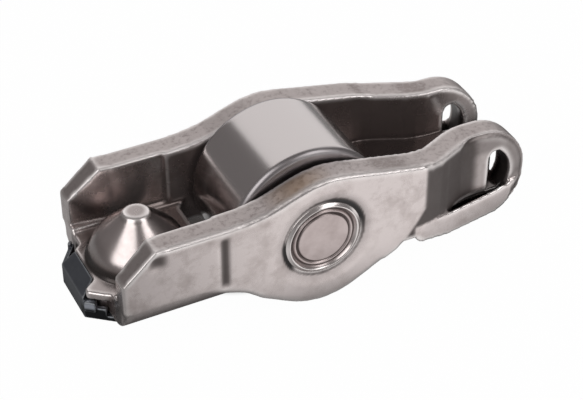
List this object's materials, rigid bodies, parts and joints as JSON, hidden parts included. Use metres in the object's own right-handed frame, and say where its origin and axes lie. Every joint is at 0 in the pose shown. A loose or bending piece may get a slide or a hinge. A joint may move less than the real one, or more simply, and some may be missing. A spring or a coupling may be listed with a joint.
{
  "type": "roller finger follower rocker arm",
  "caption": "Pressed-steel roller finger rocker arm: channel-shaped lever with a domed pivot socket, needle-bearing cam roller on a staked pin, eared valve pad and black retaining clip.",
  "frame": {"origin": "middle of the roller, on its axis", "axes": "+X along the lever towards the valve end, +Y along the roller's axis, +Z towards the camshaft"},
  "size_m": [0.0524, 0.0184, 0.018],
  "materials": {
    "pressed_steel": "barrel-polished, case-hardened steel with faint heat tint",
    "ground_steel": "ground bearing steel, satin",
    "pin_steel": "turned steel with a bright staked rim",
    "spring_steel": "blackened spring steel, satin"
  },
  "bodies": {
    "lever_body": {"lever": "pressed_steel", "axle_pin": "pin_steel", "clip": "spring_steel"},
    "roller_body": {"roller": "ground_steel"},
    "needle_ring": {"needle_1": "ground_steel", "needle_2": "ground_steel", "needle_3": "ground_steel", "needle_4": "ground_steel", "needle_5": "ground_steel", "needle_6": "ground_steel", "needle_7": "ground_steel", "needle_8": "ground_steel", "needle_9": "ground_steel", "needle_10": "ground_steel", "needle_11": "ground_steel", "needle_12": "ground_steel", "needle_13": "ground_steel", "needle_14": "ground_steel", "needle_15": "ground_steel", "needle_16": "ground_steel", "needle_17": "ground_steel"}
  },
  "joints": [
    {"name": "roller_spin", "type": "hinge", "parent": "lever_body", "child": "roller_body", "pos_m": [0, 0, 0], "axis": [0, 1, 0], "continuous": true},
    {"name": "needle_orbit", "type": "hinge", "parent": "lever_body", "child": "needle_ring", "pos_m": [0, 0, 0], "axis": [0, 1, 0], "continuous": true}
  ],
  "couplings": [
    {"joint": "needle_orbit", "follows": "roller_spin", "ratio": 0.5922}
  ]
}
